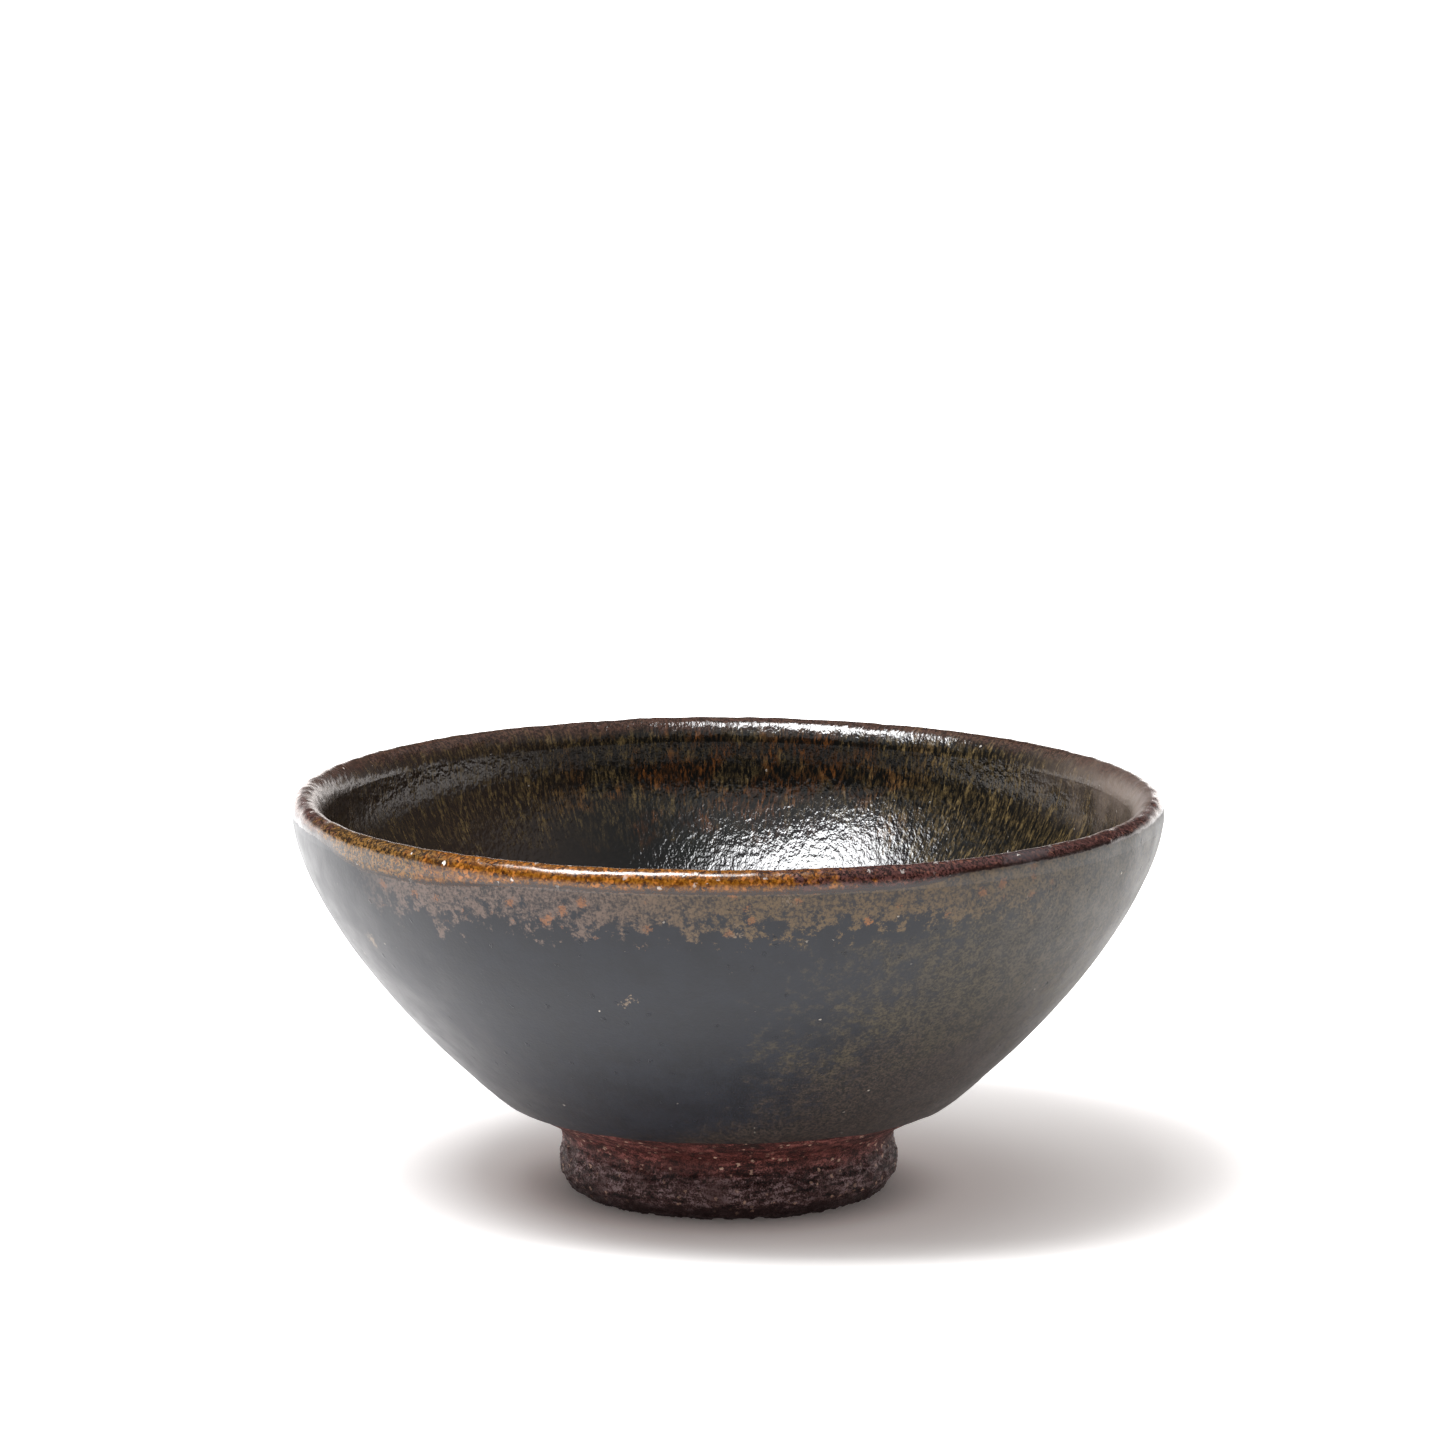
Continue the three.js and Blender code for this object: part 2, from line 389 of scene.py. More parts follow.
def press_flat(piece):
    """Presses all that hangs below the table, or just above it, flat, as a soft pot settles."""
    alone(piece)
    bpy.ops.object.mode_set(mode="EDIT")
    bpy.ops.mesh.select_mode(type="VERT")
    bpy.ops.mesh.select_all(action="DESELECT")
    bpy.ops.object.mode_set(mode="OBJECT")
    for vertex in piece.data.vertices:
        vertex.select = vertex.co.z < SETTLED
    bpy.ops.object.mode_set(mode="EDIT")
    bpy.ops.transform.resize(value=(1, 1, 0), center_override=(0, 0, 0))
    bpy.ops.object.mode_set(mode="OBJECT")


def foot_ring():
    """The ring: tooled grooves on its swell, a rounded foot to stand on, a plain recess."""
    rest_outer = FOOT_RADIUS - REST_INSET
    rest_inner = rest_outer - REST_WIDTH
    recess = NECK.x - RING_WIDTH
    swell = Vector((FOOT_RADIUS + 0.1 * MM, 4.5 * MM))
    corner = Vector((rest_outer, 0.1 * MM))
    chamfer = Vector((rest_outer + 2.2 * MM, 0.4 * MM))
    low = curve(corner, chamfer, swell - Vector((0, 2.4 * MM)), swell, 30)
    under_neck = NECK - Vector((0.1 * MM, 1.2 * MM))
    high = curve(swell, swell + Vector((0, 1.6 * MM)), under_neck, NECK, 30)
    outline = []
    for at in evenly([*low, *high[1:]], 0.4 * MM):
        cut = sum(groove(at, *sizes) for sizes in FOOT_GROOVES)
        outline.append(at - Vector((cut, 0)))
    top = evenly([NECK, Vector((recess, FOOT_HEIGHT))], 1.2 * MM)[1:]
    bevel = Vector((rest_inner - 0.9 * MM, 0.9 * MM))
    inside = evenly([top[-1], bevel, Vector((rest_inner, 0.05 * MM))], 0.9 * MM)[1:]
    rest = evenly([Vector((rest_inner + 0.2 * MM, 0)), Vector((rest_outer, 0))], 0.7 * MM)
    piece = closed_ring("foot_ring_skin", [*outline, *top, *inside, *rest[:-1], outline[0]])
    torn = bpy.data.textures.new("torn_clay", "MUSGRAVE")
    torn.musgrave_type = "RIDGED_MULTIFRACTAL"
    torn.noise_scale = 1.0 * MM
    torn.octaves = 3
    bpy.ops.object.select_all(action="DESELECT")
    bpy.ops.object.empty_add(location=(0, 0, 0))
    turning = bpy.context.object
    turning.scale = (2.6, 2.6, 1)
    displace(piece, clouds("foot_hand", 6 * MM, 1), 0.45 * MM)
    displace(piece, torn, 0.17 * MM, texture_coords="OBJECT", texture_coords_object=turning)
    displace(piece, clouds("foot_grit", 0.9 * MM, 2), 0.24 * MM)
    bpy.data.objects.remove(turning)
    press_flat(piece)
    return piece


def clay_body(cage):
    """The thrown body: all that the coats leave, with turning marks on its underside."""
    recess = NECK.x - RING_WIDTH
    seat = FOOT_HEIGHT + 0.2 * MM
    skin = evenly(sunk([*OUTSIDE, *INSIDE[1:]], CLAY_DEPTH), 4.3 * MM)
    skin[-1] = Vector((1.2 * MM, skin[-1].y))
    level = seat - UNDERSIDE_SAG
    dome = curve((0.3 * MM, level), (0.6 * recess, level), (0.8 * recess, level), (recess, seat), 60)
    underside = []
    for i, at in enumerate(evenly(dome, 0.55 * MM)):
        turning_mark = TURNING_MARK * math.sin(2.1 * i)
        underside.append(at + Vector((0, turning_mark)))
    line = [*underside, Vector((skin[0].x, seat)), *skin]
    piece = rings("clay_body_skin", line, BODY_AROUND)
    close_at_axis(piece, BODY_AROUND)
    for vertex in piece.data.vertices:
        vertex.select = vertex.index < BODY_AROUND
    bpy.ops.object.mode_set(mode="EDIT")
    bpy.ops.mesh.select_mode(type="VERT")
    bpy.ops.mesh.extrude_edges_move()
    bpy.ops.mesh.merge(type="CENTER")
    bpy.ops.mesh.select_all(action="SELECT")
    bpy.ops.mesh.normals_make_consistent(inside=False)
    bpy.ops.object.mode_set(mode="OBJECT")
    subdivide(piece)
    wave(piece, cage)
    return piece


# ---------------------------------------------------------------- nodes
def put(tree, kind, inputs=None, **settings):
    """Adds a node, sets it up, and gives its inputs values or links."""
    made = tree.nodes.new(kind)
    for key, value in settings.items():
        setattr(made, key, value)
    for key, value in (inputs or {}).items():
        if isinstance(value, bpy.types.NodeSocket):
            tree.links.new(value, made.inputs[key])
        else:
            made.inputs[key].default_value = value
    return made


def calc(tree, operation, *values, clamp=False):
    numbered = dict(enumerate(values))
    return put(tree, "ShaderNodeMath", numbered, operation=operation, use_clamp=clamp).outputs[0]


def ease(tree, value, start, end, low=0.0, high=1.0):
    """Goes smoothly from low to high as a value goes from start to end."""
    sockets = {"Value": value, "From Min": start, "From Max": end, "To Min": low, "To Max": high}
    return put(tree, "ShaderNodeMapRange", sockets, interpolation_type="SMOOTHSTEP").outputs[0]


def tint(tree, share, first, second):
    """Goes from the first colour to the second."""
    sockets = {0: share, 6: first, 7: second}
    return put(tree, "ShaderNodeMix", sockets, data_type="RGBA").outputs[2]


def lumps(tree, vector, size, detail=2.0, roughness=0.5):
    """Noise with features of a size in millimetres, for a vector in millimetres."""
    sockets = {"Vector": vector, "Scale": 1 / size, "Detail": detail, "Roughness": roughness}
    return put(tree, "ShaderNodeTexNoise", sockets).outputs["Fac"]


def stretch(tree, vector, scale):
    return put(tree, "ShaderNodeVectorMath", {0: vector, 1: scale}, operation="MULTIPLY").outputs[0]


def new_group(name, inputs, outputs):
    """An empty node group with named sockets, each (name, kind, default)."""
    tree = bpy.data.node_groups.new(name, "ShaderNodeTree")
    for label, kind, default in inputs:
        socket = tree.interface.new_socket(label, in_out="INPUT", socket_type=kind)
        if default is not None:
            socket.default_value = default
    for label, kind in outputs:
        tree.interface.new_socket(label, in_out="OUTPUT", socket_type=kind)
    entry = tree.nodes.new("NodeGroupInput")
    leave = tree.nodes.new("NodeGroupOutput")
    return tree, entry.outputs, leave.inputs


def use(tree, group, inputs=None):
    return put(tree, "ShaderNodeGroup", inputs, node_tree=group).outputs


def blend(tree, share, first, second):
    """Goes from the first number to the second."""
    return put(tree, "ShaderNodeMix", {0: share, 2: first, 3: second}).outputs[0]


FLOAT, VECTOR, COLOUR = "NodeSocketFloat", "NodeSocketVector", "NodeSocketColor"
LOOK = [("Colour", COLOUR), ("Roughness", FLOAT), ("Relief", FLOAT)]  # relief in millimetres


def give(tree, out, *sockets):
    """Links a glaze's or a clay's colour, roughness and relief to the outputs of its group."""
    for (label, _), socket in zip(LOOK, sockets):
        tree.links.new(socket, out[label])


PATTERN_RADIUS = 50.0  # of the cylinder, in millimetres, that patterns going round are laid on


def place_group():
    """Where a point is on the bowl, in millimetres and degrees."""
    kinds = {"Place": VECTOR, "Round": VECTOR, "Height": FLOAT, "Radius": FLOAT}
    kinds |= {"Front Angle": FLOAT, "Back Angle": FLOAT}
    tree, _, out = new_group("place on the bowl", [], list(kinds.items()))
    here = put(tree, "ShaderNodeTexCoord").outputs["Object"]
    place = put(tree, "ShaderNodeVectorMath", {0: here, "Scale": 1000.0}, operation="SCALE").outputs[0]
    split = put(tree, "ShaderNodeSeparateXYZ", {0: place}).outputs
    flat = put(tree, "ShaderNodeCombineXYZ", {"X": split["X"], "Y": split["Y"]}).outputs[0]
    radius = put(tree, "ShaderNodeVectorMath", {0: flat}, operation="LENGTH").outputs["Value"]
    direction = put(tree, "ShaderNodeVectorMath", {0: flat}, operation="NORMALIZE").outputs[0]
    ring = {0: direction, "Scale": PATTERN_RADIUS}
    reach = put(tree, "ShaderNodeVectorMath", ring, operation="SCALE").outputs[0]
    rise = put(tree, "ShaderNodeCombineXYZ", {"Z": split["Z"]}).outputs[0]
    around = put(tree, "ShaderNodeVectorMath", {0: reach, 1: rise}, operation="ADD").outputs[0]
    back_y = calc(tree, "MULTIPLY", split["Y"], -1.0)
    front = calc(tree, "DEGREES", calc(tree, "ARCTAN2", split["X"], back_y))
    back = calc(tree, "DEGREES", calc(tree, "ARCTAN2", split["X"], split["Y"]))
    for label, socket in zip(kinds, (place, around, split["Z"], radius, front, back)):
        tree.links.new(socket, out[label])
    return tree


def speck_group():
    """Scattered dots, such as grains of feldspar, iron spots and pinholes."""
    inputs = [("Vector", VECTOR, None), ("Spacing", FLOAT, 4.0)]
    inputs += [("Size", FLOAT, 0.3), ("Share", FLOAT, 0.5)]
    tree, given, out = new_group("specks", inputs, [("Specks", FLOAT), ("Tone", FLOAT)])
    density = calc(tree, "DIVIDE", 1.0, given["Spacing"])
    cells = put(tree, "ShaderNodeTexVoronoi", {"Vector": given["Vector"], "Scale": density}).outputs
    tones = put(tree, "ShaderNodeSeparateColor", {0: cells["Color"]}).outputs
    kept = calc(tree, "LESS_THAN", tones[0], given["Share"])
    edge = calc(tree, "MULTIPLY", given["Size"], density)
    uneven = calc(tree, "SUBTRACT", lumps(tree, given["Vector"], 0.3, 1.0, 0.5), 0.5)
    distance = calc(tree, "ADD", cells["Distance"], times(tree, uneven, edge, 2.2))
    dots = ease(tree, distance, edge, calc(tree, "MULTIPLY", edge, 0.55))
    tree.links.new(calc(tree, "MULTIPLY", dots, kept), out["Specks"])
    tree.links.new(tones[1], out["Tone"])
    return tree


def fur_group():
    """Streaks that ran down the wall as the glaze melted."""
    inputs = [("Round", VECTOR, None), ("Width", FLOAT, 0.6)]
    inputs += [("Length", FLOAT, 6.0), ("Amount", FLOAT, 0.5)]
    tree, given, out = new_group("hares fur", inputs, [("Streaks", FLOAT)])
    across = calc(tree, "DIVIDE", 1.0, given["Width"])
    down = calc(tree, "DIVIDE", 1.0, given["Length"])
    scale = put(tree, "ShaderNodeCombineXYZ", {"X": across, "Y": across, "Z": down}).outputs[0]
    vector = stretch(tree, given["Round"], scale)
    fine = lumps(tree, vector, 1.0, 4.0, 0.62)
    start = calc(tree, "SUBTRACT", 0.78, calc(tree, "MULTIPLY", given["Amount"], 0.5))
    tree.links.new(ease(tree, fine, start, calc(tree, "ADD", start, 0.22)), out["Streaks"])
    return tree


def dots(tree, specks, vector, spacing, size, share):
    """Specks at a spacing, of a size, on a share of the places where they could be."""
    sockets = {"Vector": vector, "Spacing": spacing, "Size": size, "Share": share}
    return use(tree, specks, sockets)


def streaks(tree, fur, here, width, length, amount):
    sockets = {"Round": here["Round"], "Width": width, "Length": length, "Amount": amount}
    return use(tree, fur, sockets)["Streaks"]


def times(tree, *values):
    """The product of several values."""
    product = values[0]
    for value in values[1:]:
        product = calc(tree, "MULTIPLY", product, value)
    return product


def shifted(tree, value, noise, reach):
    """A value pushed up and down by a noise, by up to about half the reach."""
    return calc(tree, "ADD", value, calc(tree, "MULTIPLY", calc(tree, "SUBTRACT", noise, 0.5), reach))


def window(tree, value, start, full, fading, end):
    """Comes in from start to full, and goes out again from fading to end."""
    return times(tree, ease(tree, value, start, full), ease(tree, value, fading, end, 1.0, 0.0))


def lip_colour(tree, here, fur, specks, torn, grain):
    """The lip's band: amber in front, olive to its left, plum everywhere else."""
    place, angle = here["Place"], here["Front Angle"]
    blots = lumps(tree, place, 0.9, 2.0, 0.6)
    embers = lumps(tree, place, 0.65, 1.0, 0.5)
    run = streaks(tree, fur, here, 0.6, 1.5, 0.55)
    honey = tint(tree, ease(tree, grain, 0.4, 0.6), (0.079, 0.024, 0.002, 1), (0.198, 0.073, 0.005, 1))
    amber = tint(tree, times(tree, run, 0.65), honey, (0.040, 0.011, 0.002, 1))
    amber = tint(tree, times(tree, ease(tree, blots, 0.53, 0.62), 0.8), amber, (0.016, 0.006, 0.003, 1))
    amber = tint(tree, times(tree, ease(tree, embers, 0.58, 0.66), 0.7), amber, (0.38, 0.13, 0.02, 1))
    plum = tint(tree, ease(tree, grain, 0.38, 0.62), (0.013, 0.005, 0.0045, 1), (0.076, 0.029, 0.025, 1))
    plum = tint(tree, times(tree, ease(tree, embers, 0.6, 0.68), 0.7), plum, (0.15, 0.06, 0.04, 1))
    olive = tint(tree, ease(tree, grain, 0.38, 0.62), (0.018, 0.011, 0.005, 1), (0.18, 0.088, 0.022, 1))
    olive = tint(tree, times(tree, ease(tree, blots, 0.52, 0.6), 0.8), olive, (0.014, 0.007, 0.004, 1))
    ragged = shifted(tree, angle, torn, 50.0)
    lip = tint(tree, window(tree, ragged, -74.0, -62.0, -44.0, -32.0), plum, olive)
    lip = tint(tree, window(tree, ragged, -50.0, -34.0, 4.0, 16.0), lip, amber)
    worn = window(tree, shifted(tree, angle, torn, 14.0), 36.0, 39.0, 44.0, 47.0)
    lip = tint(tree, times(tree, worn, 0.5), lip, (0.055, 0.052, 0.056, 1))
    near_crest = ease(tree, here["Height"], 54.4, 55.6, 0.12, 0.4)
    chips = dots(tree, specks, place, 1.5, 0.34, near_crest)
    lip = tint(tree, times(tree, chips["Specks"], chips["Tone"]), lip, (0.75, 0.68, 0.62, 1))
    return lip, chips["Specks"]


def outside_group(place, specks, fur):
    """The colours of the glaze outside: blue-black, olive to the right, tan under the lip."""
    tree, _, out = new_group("outside glaze", [], LOOK)
    here = use(tree, place)
    grain = lumps(tree, here["Place"], 0.42, 2.0, 0.7)
    patch = lumps(tree, here["Place"], 11.0, 2.0, 0.5)
    torn = lumps(tree, here["Place"], 1.7, 4.0, 0.75)
    drift = lumps(tree, here["Place"], 5.0, 3.0, 0.6)
    mottle = calc(tree, "ADD", times(tree, grain, 0.55), times(tree, torn, 0.45))
    height, angle = here["Height"], here["Front Angle"]

    # blue-black, with a faint bloom
    haze = ease(tree, drift, 0.35, 0.65)
    night = tint(tree, haze, (0.0028, 0.0042, 0.0085, 1), (0.0062, 0.0082, 0.0140, 1))

    # olive and brown, right of a torn line that leans to the left lower down
    lean = calc(tree, "MULTIPLY", calc(tree, "SUBTRACT", height, 30.0), 0.55)
    creep = ease(tree, height, 18.0, 12.5, 0.0, 24.0)
    across = calc(tree, "ADD", calc(tree, "SUBTRACT", angle, lean), creep)
    across = shifted(tree, shifted(tree, across, drift, 44.0), torn, 70.0)
    olive_share = times(tree, ease(tree, across, 4.0, 30.0), ease(tree, angle, 176.0, 150.0))
    pale = tint(tree, patch, (0.060, 0.046, 0.023, 1), (0.038, 0.030, 0.022, 1))
    dust = tint(tree, ease(tree, mottle, 0.41, 0.60), (0.005, 0.0045, 0.004, 1), pale)
    low_right = ease(tree, shifted(tree, height, drift, 24.0), 34.0, 22.0, 0.0, 0.8)
    plum = tint(tree, ease(tree, grain, 0.42, 0.62), (0.004, 0.003, 0.003, 1), (0.042, 0.028, 0.024, 1))
    dust = tint(tree, low_right, dust, plum)
    colour = tint(tree, olive_share, night, dust)

    # tan, speckled, in a band under the lip that runs down in drips
    drips = streaks(tree, fur, here, 4.5, 60.0, 0.5)
    edge = calc(tree, "SUBTRACT", 47.6, calc(tree, "MULTIPLY", drips, 3.6))
    reach = calc(tree, "SUBTRACT", shifted(tree, height, torn, 22.0), edge)
    tan_share = times(tree, ease(tree, reach, -0.3, 2.2), window(tree, angle, -60.0, -44.0, 18.0, 62.0))
    to_right = ease(tree, angle, -25.0, 5.0)
    pinkish = tint(tree, to_right, (0.132, 0.090, 0.072, 1), (0.120, 0.076, 0.034, 1))
    fleck = tint(tree, ease(tree, mottle, 0.38, 0.62), (0.016, 0.012, 0.011, 1), pinkish)
    rust = dots(tree, specks, here["Place"], 2.2, 0.8, 0.35)
    fleck = tint(tree, times(tree, rust["Specks"], grain, 1.1), fleck, (0.30, 0.105, 0.025, 1))
    colour = tint(tree, times(tree, tan_share, 0.9), colour, fleck)
    crumbs = dots(tree, specks, here["Place"], 7.0, 1.5, 0.16)
    crumbs = times(tree, crumbs["Specks"], ease(tree, torn, 0.50, 0.56), ease(tree, height, 20.0, 34.0))
    crumbs = times(tree, crumbs, window(tree, angle, -120.0, -90.0, 10.0, 40.0))
    colour = tint(tree, crumbs, colour, (0.15, 0.11, 0.075, 1))

    # the lip's own band, with a dark line of painted shade along its lower edge
    edge = calc(tree, "SUBTRACT", 52.8, ease(tree, angle, -22.0, -46.0, 0.0, 1.7))
    edge = calc(tree, "ADD", edge, ease(tree, angle, -54.0, -68.0, 0.0, 2.2))
    edge = calc(tree, "ADD", edge, ease(tree, angle, 22.0, 34.0, 0.0, 1.3))
    edge = calc(tree, "SUBTRACT", edge, ease(tree, angle, 110.0, 175.0, 0.0, 0.8))
    level = calc(tree, "SUBTRACT", shifted(tree, height, torn, 0.9), edge)
    band = ease(tree, level, -0.1, 0.15)
    lip, chips = lip_colour(tree, here, fur, specks, torn, grain)
    # painted shade: a dark line just under the band's lower edge
    painted_band_shade = window(tree, level, -0.1, 0.1, 0.25, 0.8)
    lip = tint(tree, times(tree, painted_band_shade, 0.9), lip, (0.010, 0.004, 0.003, 1))
    colour = tint(tree, band, colour, lip)

    # grains of feldspar, and pinholes
    grains = dots(tree, specks, here["Place"], 1.7, 0.2, 0.08)
    colour = tint(tree, times(tree, grains["Specks"], grains["Tone"]), colour, (0.45, 0.40, 0.34, 1))
    holes = dots(tree, specks, here["Place"], 7.0, 0.36, 0.3)["Specks"]
    colour = tint(tree, holes, colour, (0.004, 0.003, 0.003, 1))

    satin = calc(tree, "ADD", ease(tree, drift, 0.3, 0.7, 0.31, 0.39), times(tree, olive_share, 0.1))
    glossy = ease(tree, grain, 0.35, 0.65, 0.12, 0.26)
    rough = blend(tree, band, satin, glossy)
    bumps = calc(tree, "ADD", times(tree, grain, 0.016), times(tree, torn, 0.03))
    bumps = calc(tree, "ADD", bumps, times(tree, calc(tree, "MAXIMUM", grains["Specks"], chips), 0.07))
    bumps = calc(tree, "SUBTRACT", bumps, times(tree, holes, 0.15))
    give(tree, out, colour, rough, bumps)
    return tree


def inside_group(place, specks, fur):
    """The colours of the glaze inside: gold streaks over black, bare and glossy in the well."""
    tree, _, out = new_group("inside glaze", [], LOOK)
    here = use(tree, place)
    height, angle = here["Height"], here["Back Angle"]
    grain = lumps(tree, here["Place"], 0.45, 2.0, 0.7)
    patch = lumps(tree, here["Place"], 5.0, 2.0, 0.5)
    pebble = lumps(tree, stretch(tree, here["Place"], (1.3, 0.65, 0.9)), 1.0, 2.0, 0.6)
    smooth = ease(tree, height, 22.0, 31.0, 0.5, 1.1)
    torn = lumps(tree, here["Round"], 3.0, 4.0, 0.7)
    fine = streaks(tree, fur, here, 0.34, 1.3, 0.72)
    broad = streaks(tree, fur, here, 1.5, 4.5, 0.7)

    leftness = window(tree, angle, -178.0, -150.0, -45.0, -12.0)
    black = tint(tree, leftness, (0.0035, 0.0035, 0.0032, 1), (0.017, 0.011, 0.0085, 1))
    gold = tint(tree, ease(tree, grain, 0.35, 0.65), (0.070, 0.047, 0.018, 1), (0.175, 0.118, 0.046, 1))
    rust = tint(tree, ease(tree, patch, 0.40, 0.60), gold, (0.170, 0.058, 0.012, 1))
    hue = tint(tree, window(tree, angle, -34.0, -12.0, 16.0, 36.0), gold, rust)
    to_right = window(tree, angle, 18.0, 50.0, 150.0, 178.0)
    fringe = calc(tree, "ADD", shifted(tree, height, torn, 16.0), times(tree, to_right, 12.0))
    furry = times(tree, ease(tree, fringe, 37.0, 46.0), fine, ease(tree, broad, 0.0, 1.0, 0.35, 1.0))
    furry = times(tree, furry, ease(tree, leftness, 0.0, 1.0, 0.95, 0.7))
    middle = window(tree, angle, -40.0, -20.0, 12.0, 32.0)
    furry = times(tree, furry, ease(tree, middle, 0.0, 1.0, 1.0, 0.62))
    colour = tint(tree, furry, black, hue)

    # a dusty plum bloom beside the lip, on both sides, lightened there as painted grazing sheen, and a
    # brown edge all round
    side = window(tree, calc(tree, "ABSOLUTE", angle), 40.0, 80.0, 115.0, 165.0)
    # dusty bloom with painted sheen, strongest at the bowl's left and right ends
    bloom_and_sheen = times(tree, side, ease(tree, shifted(tree, height, patch, 12.0), 44.0, 55.0))
    bloom_and_sheen = times(tree, bloom_and_sheen, ease(tree, to_right, 0.0, 1.0, 0.3, 1.0))
    powder_and_sheen = tint(tree, to_right, (0.105, 0.075, 0.068, 1), (0.185, 0.140, 0.115, 1))
    colour = tint(tree, times(tree, bloom_and_sheen, 0.85), colour, powder_and_sheen)
    thin = ease(tree, shifted(tree, height, torn, 2.4), 53.6, 55.2)
    brown = tint(tree, ease(tree, grain, 0.4, 0.6), (0.020, 0.009, 0.006, 1), (0.075, 0.036, 0.026, 1))
    colour = tint(tree, times(tree, thin, 0.75), colour, brown)
    grains = dots(tree, specks, here["Place"], 1.8, 0.2, 0.14)
    colour = tint(tree, times(tree, grains["Specks"], grains["Tone"]), colour, (0.5, 0.45, 0.4, 1))

    rough = calc(tree, "ADD", 0.12, times(tree, bloom_and_sheen, 0.3))
    rough = calc(tree, "ADD", rough, times(tree, furry, 0.16))
    bumps = calc(tree, "ADD", times(tree, pebble, smooth, 0.105), times(tree, grain, 0.018))
    bumps = calc(tree, "ADD", bumps, times(tree, grains["Specks"], 0.05))
    give(tree, out, colour, rough, bumps)
    return tree


def clay_group(place, specks):
    """Bare fired clay: grooved round by the tool, torn and gritty, dark in its pits as painted shade,
    worn and lighter on its raised parts, partly as painted highlight.
    """
    inputs = [("Pit Shade", COLOUR, None), ("Ground", COLOUR, None), ("Worn And Highlight", COLOUR, None)]
    inputs += [("Wear And Highlight", FLOAT, 0.5), ("Grit", FLOAT, 0.1)]
    tree, given, out = new_group("bare clay", inputs, LOOK)
    here = use(tree, place)
    turned = lumps(tree, stretch(tree, here["Round"], (0.13, 0.13, 1.3)), 1.0, 4.0, 0.65)
    torn = lumps(tree, stretch(tree, here["Round"], (0.42, 0.42, 1.5)), 1.0, 4.0, 0.7)
    fine = lumps(tree, here["Place"], 0.24, 2.0, 0.7)
    patch = lumps(tree, here["Place"], 4.0, 2.0, 0.5)
    raised = calc(tree, "ADD", times(tree, turned, 0.5), times(tree, torn, 0.5))
    shade = calc(tree, "ADD", times(tree, raised, 0.65), times(tree, fine, 0.35))
    # painted shade: the low places of the relief take the darker pit colour
    colour = tint(tree, ease(tree, shade, 0.44, 0.50), given["Pit Shade"], given["Ground"])
    rubbed = ease(tree, patch, 0.35, 0.6, 0.3, 1.0)
    # worn clay, lighter on the raised parts, partly a painted highlight
    worn = times(tree, ease(tree, shade, 0.51, 0.56), rubbed, given["Wear And Highlight"])
    colour = tint(tree, worn, colour, given["Worn And Highlight"])
    grains = dots(tree, specks, here["Place"], 1.0, 0.32, 0.34)
    colour = tint(tree, times(tree, grains["Specks"], grains["Tone"]), colour, (0.62, 0.40, 0.30, 1))
    bumps = calc(tree, "ADD", times(tree, raised, given["Grit"], 4.0), times(tree, fine, given["Grit"]))
    bumps = calc(tree, "ADD", bumps, times(tree, grains["Specks"], 0.07))
    give(tree, out, colour, ease(tree, shade, 0.35, 0.6, 0.85, 0.5), bumps)
    return tree


def material(name, ior=1.5):
    """A new material, its node tree, and the inputs of its Principled shader."""
    made = bpy.data.materials.new(name)
    made.use_nodes = True
    shader = made.node_tree.nodes["Principled BSDF"]
    shader.inputs["IOR"].default_value = ior
    return made, made.node_tree, shader.inputs


def wear(tree, shader, colour, rough, height):
    """Gives a shader its colour, its roughness and its bumps, in millimetres."""
    tree.links.new(colour, shader["Base Color"])
    tree.links.new(rough, shader["Roughness"])
    bump = put(tree, "ShaderNodeBump", {"Height": height, "Strength": 1.0, "Distance": MM})
    tree.links.new(bump.outputs[0], shader["Normal"])


def outer_glaze_material(outside):
    made, tree, shader = material("outer_glaze", 1.43)
    look = use(tree, outside)
    wear(tree, shader, *look)
    return made


def inner_glaze_material(inside):
    made, tree, shader = material("inner_glaze", 1.55)
    look = use(tree, inside)
    wear(tree, shader, *look)
    return made


CREST_RADII = (58.5, 57.9)  # millimetres, between which the lip turns from outside to inside


def lip_glaze_material(place, outside, inside):
    """The lip: the outside's colours on its bevel, the inside's beyond the crest."""
    made, tree, shader = material("lip_glaze", 1.55)
    here, outer, inner = use(tree, place), use(tree, outside), use(tree, inside)
    share = ease(tree, here["Radius"], *CREST_RADII)
    colour = tint(tree, share, outer["Colour"], inner["Colour"])
    rough = blend(tree, share, outer["Roughness"], inner["Roughness"])
    height = blend(tree, share, outer["Relief"], inner["Relief"])
    wear(tree, shader, colour, rough, height)
    return made


CLAY_SHEEN = 0.3
# for each clay: the pit colour is painted shade, the worn colour partly a painted highlight
RED_CLAY = {
    "Pit Shade": (0.016, 0.004, 0.003, 1),
    "Ground": (0.064, 0.0135, 0.0105, 1),
    "Worn And Highlight": (0.24, 0.080, 0.068, 1),
    "Wear And Highlight": 1.0,
    "Grit": 0.045,
}
FOOT_CLAY = {
    "Pit Shade": (0.007, 0.002, 0.002, 1),
    "Ground": (0.062, 0.024, 0.021, 1),
    "Worn And Highlight": (0.30, 0.21, 0.215, 1),
    "Wear And Highlight": 0.9,
    "Grit": 0.08,
}
BODY_CLAY = {
    "Pit Shade": (0.020, 0.008, 0.007, 1),
    "Ground": (0.060, 0.028, 0.023, 1),
    "Worn And Highlight": (0.12, 0.075, 0.065, 1),
    "Wear And Highlight": 0.6,
    "Grit": 0.03,
}


def clay_material(name, clay, kind):
    """A clay of one kind all over."""
    made, tree, shader = material(name)
    shader["Specular IOR Level"].default_value = CLAY_SHEEN
    look = use(tree, clay, kind)
    wear(tree, shader, *look)
    return made


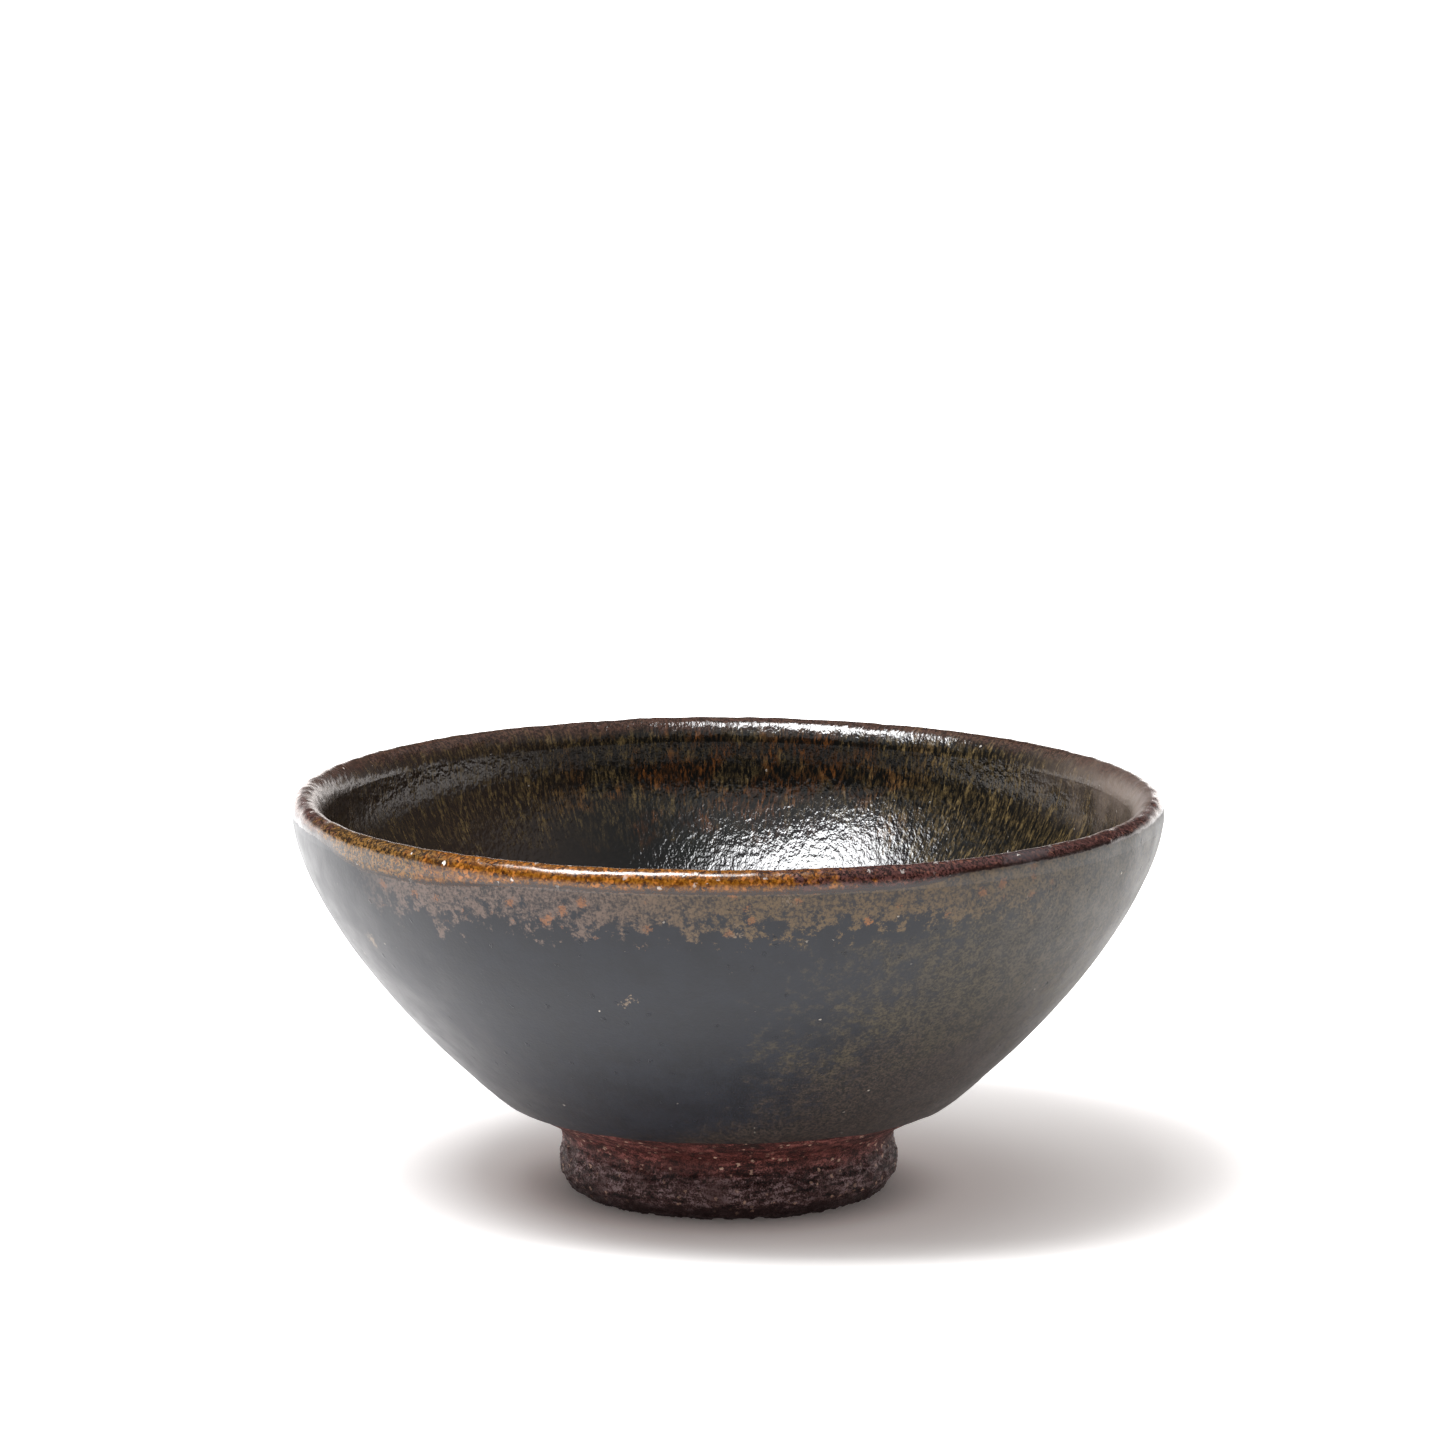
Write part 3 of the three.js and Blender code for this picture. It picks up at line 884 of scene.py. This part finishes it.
def foot_material(place, clay):
    """The foot's clay, with the iron wash run down over its neck."""
    made, tree, shader = material("foot_clay")
    shader["Specular IOR Level"].default_value = CLAY_SHEEN
    here, bare, washed = use(tree, place), use(tree, clay, FOOT_CLAY), use(tree, clay, RED_CLAY)
    ragged = shifted(tree, here["Height"], lumps(tree, here["Place"], 2.0, 4.0, 0.7), 4.0)
    wash = ease(tree, ragged, 5.6, 7.6)
    # painted shade: the foot darker low down, towards the table
    low = ease(tree, ragged, 2.8, 1.6, 0.0, 0.8)
    colour = tint(tree, wash, bare["Colour"], washed["Colour"])
    colour = tint(tree, low, colour, (0.022, 0.008, 0.008, 1))
    height = blend(tree, wash, bare["Relief"], washed["Relief"])
    wear(tree, shader, colour, bare["Roughness"], height)
    return made


# ---------------------------------------------------------------- stage
SENSOR_WIDTH = 36  # millimetres, as the lens
LENS = 184.05
CAMERA_PLACE = (-0.8 * MM, -1.0, 0.24)
CAMERA_TILT = 80.08  # degrees up from looking straight down
SOFT_LIGHTS = [  # name, place, width, depth and radiance
    ("diffuser", (-0.28, -0.175, 0.85), 0.70, 0.35, 11.0),
    ("lamp_glow", (-0.27, -0.20, 0.849), 0.42, 0.28, 20.0),
    ("spill", (-0.30, -0.66, 0.851), 1.0, 0.45, 0.35),
    ("ceiling", (-0.1, -0.1, 1.0), 2.4, 2.0, 0.25),
]


def camera():
    data = bpy.data.cameras.new("camera")
    data.lens = LENS
    data.sensor_width = SENSOR_WIDTH
    data.clip_start = 0.05
    data.clip_end = 50
    made = bpy.data.objects.new("camera", data)
    made.location = CAMERA_PLACE
    made.rotation_euler = (math.radians(CAMERA_TILT), 0, 0)
    bpy.context.scene.collection.objects.link(made)
    bpy.context.scene.camera = made


def floor():
    """White paper with painted glow: dim at the foot as a painted contact shadow, glowing more and more
    away from it, and most of all behind it.
    """
    bpy.ops.object.select_all(action="DESELECT")
    bpy.ops.mesh.primitive_plane_add(size=16, location=(0, 0, 0))
    plane = bpy.context.object
    plane.name = "floor"
    made, tree, shader = material("floor")
    shader["Base Color"].default_value = (0.83, 0.81, 0.80, 1)
    shader["Roughness"].default_value = 0.9
    here = put(tree, "ShaderNodeTexCoord").outputs["Object"]
    split = put(tree, "ShaderNodeSeparateXYZ", {0: here}).outputs
    back = split["Y"]
    away = put(tree, "ShaderNodeVectorMath", {0: here}, operation="LENGTH").outputs["Value"]
    # painted light: the floor glows though it is no lamp, dim under the bowl as a painted shadow,
    # brighter in front and to the sides
    painted_floor_glow = tint(tree, ease(tree, away, 0.020, 0.034), (0.06, 0.052, 0.05, 1), (0.25, 0.225, 0.215, 1))
    painted_floor_glow = tint(tree, ease(tree, away, 0.030, 0.070), painted_floor_glow, (0.50, 0.475, 0.465, 1))
    painted_floor_glow = tint(tree, ease(tree, back, -0.030, -0.055), painted_floor_glow, (0.62, 0.60, 0.59, 1))
    aside = ease(tree, calc(tree, "ABSOLUTE", split["X"]), 0.060, 0.130)
    painted_floor_glow = tint(tree, aside, painted_floor_glow, (0.95, 0.93, 0.92, 1))
    glow = ease(tree, back, 0.0, 0.30)
    tree.links.new(tint(tree, glow, painted_floor_glow, (2.1, 2.1, 2.1, 1)), shader["Emission Color"])
    shader["Emission Strength"].default_value = 1.0
    plane.data.materials.append(made)


def soft_light(name, place, width, depth, radiance):
    """A rectangular diffuser overhead, facing down."""
    data = bpy.data.lights.new(name, "AREA")
    data.shape = "RECTANGLE"
    data.size = width
    data.size_y = depth
    data.energy = radiance * width * depth * math.pi
    data.color = (0.97, 0.985, 1.0)
    made = bpy.data.objects.new(name, data)
    made.location = place
    bpy.context.scene.collection.objects.link(made)


def white_room():
    """A dim studio, with bright paper low down behind the bowl and beside it."""
    world = bpy.data.worlds.new("white_room")
    bpy.context.scene.world = world
    world.use_nodes = True
    tree = world.node_tree
    sky = tree.nodes["Background"]
    direction = put(tree, "ShaderNodeTexCoord").outputs["Generated"]
    split = put(tree, "ShaderNodeSeparateXYZ", {0: direction}).outputs
    behind = ease(tree, split["Y"], -0.6, 0.0, 0.2, 1.0)
    low = ease(tree, split["Z"], 0.22, 0.05, 0.025, 1.0)
    room = times(tree, behind, low, 3.0)
    seen = put(tree, "ShaderNodeLightPath").outputs["Is Camera Ray"]
    tree.links.new(blend(tree, seen, room, 1.1), sky.inputs["Strength"])
    sky.inputs["Color"].default_value = (1.0, 0.95, 0.92, 1)


bpy.context.scene.view_settings.view_transform = "Standard"
camera()
floor()
for light in SOFT_LIGHTS:
    soft_light(*light)
white_room()

place = place_group()
specks = speck_group()
fur = fur_group()
outside = outside_group(place, specks, fur)
inside = inside_group(place, specks, fur)
clay = clay_group(place, specks)

cage = lip_lattice()
guide = rings("guide", evenly(WALL_OUTSIDE, 1.5 * MM), GUIDE_AROUND)

outer_line = between(OUTSIDE, GLAZE_LINE, BAND_HEIGHT)
lip_line = [*between(OUTSIDE, BAND_HEIGHT, 1), *between(INSIDE, BAND_HEIGHT, 1)[1:]]
inner_line = between(INSIDE, 0, BAND_HEIGHT)
outer = coat("outer_glaze_skin", outer_line, 2.3 * MM, GLAZE_THICKNESS, cage, 5 * MM, guide)
lip = coat("lip_glaze_skin", lip_line, 0.6 * MM, GLAZE_THICKNESS, cage, dents=0.3)
inner = coat("inner_glaze_skin", inner_line, 3.4 * MM, GLAZE_THICKNESS, cage)
slip = coat("iron_slip_skin", slip_line(), 0.65 * MM, SLIP_THICKNESS, cage, grain=0.12)
foot = foot_ring()
body = clay_body(cage)

finish(outer, outer_glaze_material(outside))
finish(lip, lip_glaze_material(place, outside, inside))
finish(inner, inner_glaze_material(inside))
finish(slip, clay_material("iron_slip", clay, RED_CLAY))
finish(foot, foot_material(place, clay), 60)
finish(body, clay_material("stoneware", clay, BODY_CLAY), 60)

for helper in (cage, guide):
    bpy.data.objects.remove(helper)
